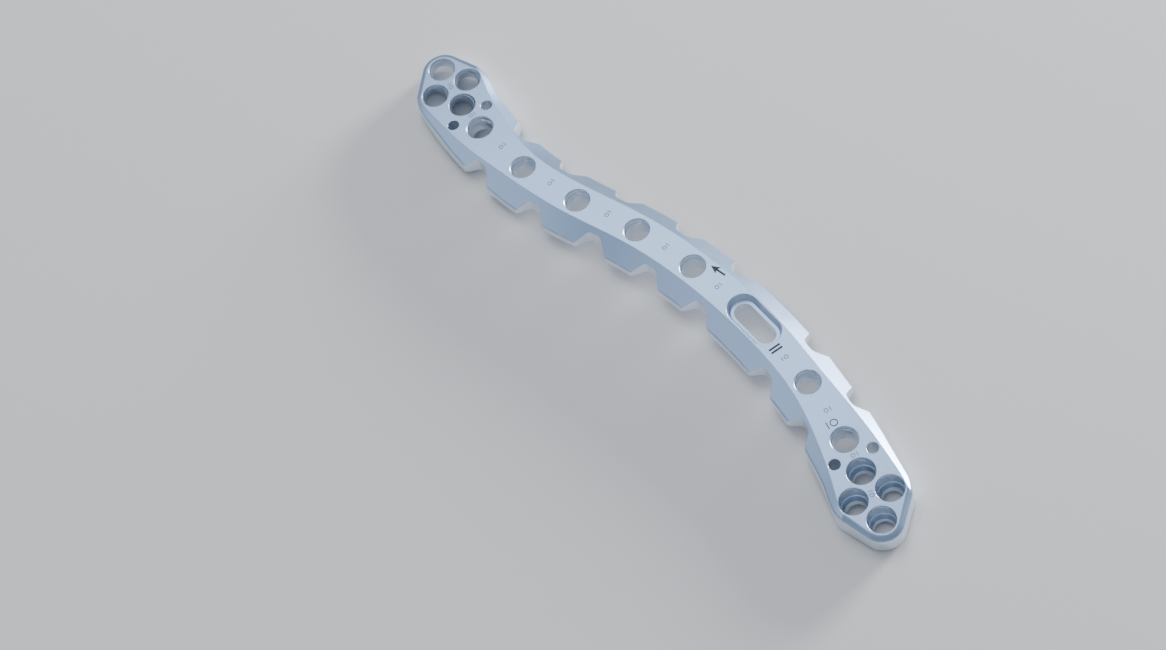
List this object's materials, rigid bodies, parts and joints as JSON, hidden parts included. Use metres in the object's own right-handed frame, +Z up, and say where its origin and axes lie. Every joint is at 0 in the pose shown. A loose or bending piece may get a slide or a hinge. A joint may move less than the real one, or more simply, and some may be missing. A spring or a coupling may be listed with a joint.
{
  "type": "bone plate",
  "caption": "Long narrow S-curved metal plate with bevelled edges, notched sides, a round-ended slot and clusters of screw holes towards both tips.",
  "frame": {"origin": "centre of the bounding box at the height of its lowest feet", "axes": "+X along the plate towards end B, the end with the slot; +Z up out of the smooth side that the screws enter; +Y across"},
  "size_m": [0.113, 0.02, 0.0053],
  "materials": {
    "anodised_titanium": "satin, pale steel blue"
  },
  "bodies": {
    "root": {"bone_plate": "anodised_titanium"}
  },
  "joints": []
}
